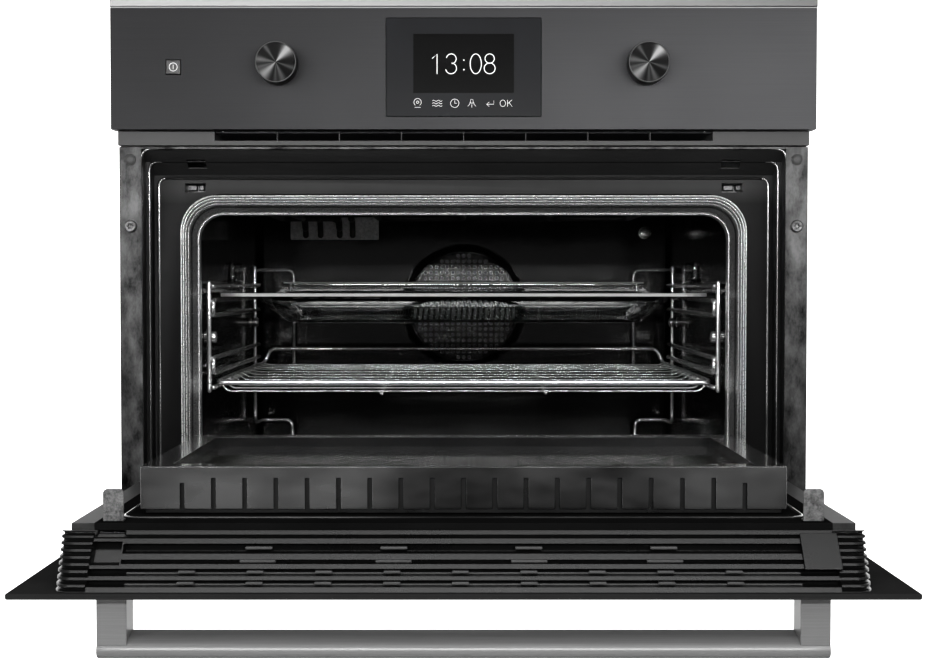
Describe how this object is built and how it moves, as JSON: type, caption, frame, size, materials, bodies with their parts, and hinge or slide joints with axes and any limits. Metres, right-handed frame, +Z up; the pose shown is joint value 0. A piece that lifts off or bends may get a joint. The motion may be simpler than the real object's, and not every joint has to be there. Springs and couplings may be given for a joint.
{
  "type": "wall oven",
  "caption": "Built-in compact oven with a drop-down door standing open, a glass tray and a wire shelf on side racks, and a control fascia with turning knobs.",
  "frame": {"origin": "middle of the base plate's underside, which rests on the niche's shelf", "axes": "+X to the right as the user faces the oven, +Y into the oven, +Z up; the door stands open towards -Y"},
  "size_m": [0.595, 0.8816, 0.4888],
  "materials": {
    "galvanised": "zinc-coated sheet, matt with a faint spangle",
    "satin_steel": "satin stamped steel",
    "dark_steel": "dark grey, brushed left to right",
    "silver_trim": "brushed left to right",
    "enamel": "black gloss enamel",
    "chrome_wire": "polished",
    "black_glass": "black backed glass, polished",
    "clear_glass": "clear, faint grey-green",
    "black_plastic": "fine moulded grain",
    "grey_plastic": "satin moulded",
    "seal": "silver grey ribbed seal",
    "heater_steel": "oxidised heater sheath",
    "circuit_board": "solder-masked board",
    "mineral_wool": "fibrous blanket"
  },
  "bodies": {
    "housing": {"housing_shell": "galvanised", "base_plate": "galvanised", "rear_panel": "galvanised", "air_duct": "galvanised", "component_shelf": "galvanised", "magnetron": "galvanised", "fan_motor": "galvanised", "cooling_fan_motor": "galvanised", "hinge_receiver_left": "galvanised", "hinge_receiver_right": "galvanised", "front_frame": "satin_steel", "fascia_panel": "dark_steel", "fascia_top_trim": "silver_trim", "cavity_liner": "enamel", "fan_cover": "enamel", "side_rack_left": "chrome_wire", "side_rack_right": "chrome_wire", "grill_bracket": "chrome_wire", "temperature_probe": "chrome_wire", "frame_screw_left": "chrome_wire", "frame_screw_right": "chrome_wire", "display_glass": "black_glass", "lamp_cover_left": "clear_glass", "lamp_cover_right": "clear_glass", "terminal_box": "black_plastic", "display_module": "black_plastic", "control_carrier": "black_plastic", "latch_switch_left": "black_plastic", "latch_switch_right": "black_plastic", "air_outlet_strip": "grey_plastic", "frame_plug_left": "grey_plastic", "frame_plug_right": "grey_plastic", "door_seal": "seal", "ring_element": "heater_steel", "grill_element": "heater_steel", "transformer": "heater_steel", "control_board": "circuit_board", "insulation": "mineral_wool"},
    "door": {"door_outer_glass": "black_glass", "door_trim": "black_plastic", "door_trim_clip": "grey_plastic", "door_plate": "satin_steel", "choke_box": "satin_steel", "door_inner_glass": "black_glass", "door_middle_glass": "clear_glass", "handle_bar": "silver_trim", "handle_post_left": "silver_trim", "handle_post_right": "silver_trim", "latch_tongue_left": "galvanised", "latch_tongue_right": "galvanised", "hinge_arm_left": "galvanised", "hinge_arm_right": "galvanised"},
    "tray": {"glass_tray": "clear_glass"},
    "shelf": {"wire_shelf": "chrome_wire"},
    "knob_left": {"knob_left": "black_plastic"},
    "knob_right": {"knob_right": "black_plastic"},
    "power_button": {"power_button": "dark_steel"},
    "convection_fan": {"convection_fan": "galvanised"},
    "cooling_fan": {"cooling_fan": "galvanised"}
  },
  "joints": [
    {"name": "door_hinge", "type": "hinge", "parent": "housing", "child": "door", "pos_m": [0, -0.281, 0.0183], "axis": [1, 0, 0], "range_deg": [-90, 0]},
    {"name": "tray_slide", "type": "slide", "parent": "housing", "child": "tray", "axis": [0, -1, 0], "range_m": [0, 0.3]},
    {"name": "shelf_slide", "type": "slide", "parent": "housing", "child": "shelf", "axis": [0, -1, 0], "range_m": [0, 0.3]},
    {"name": "knob_left_turn", "type": "hinge", "parent": "housing", "child": "knob_left", "pos_m": [-0.156, -0.289, 0.399], "axis": [0, -1, 0], "continuous": true},
    {"name": "knob_right_turn", "type": "hinge", "parent": "housing", "child": "knob_right", "pos_m": [0.154, -0.289, 0.399], "axis": [0, -1, 0], "continuous": true},
    {"name": "power_button_press", "type": "slide", "parent": "housing", "child": "power_button", "axis": [0, 1, 0], "range_m": [0, 0.0015], "stiffness_N_per_m": 400},
    {"name": "convection_fan_spin", "type": "hinge", "parent": "housing", "child": "convection_fan", "pos_m": [0, 0.216, 0.188], "axis": [0, 1, 0], "continuous": true},
    {"name": "cooling_fan_spin", "type": "hinge", "parent": "housing", "child": "cooling_fan", "pos_m": [0, 0.047, 0.366], "axis": [1, 0, 0], "continuous": true}
  ]
}
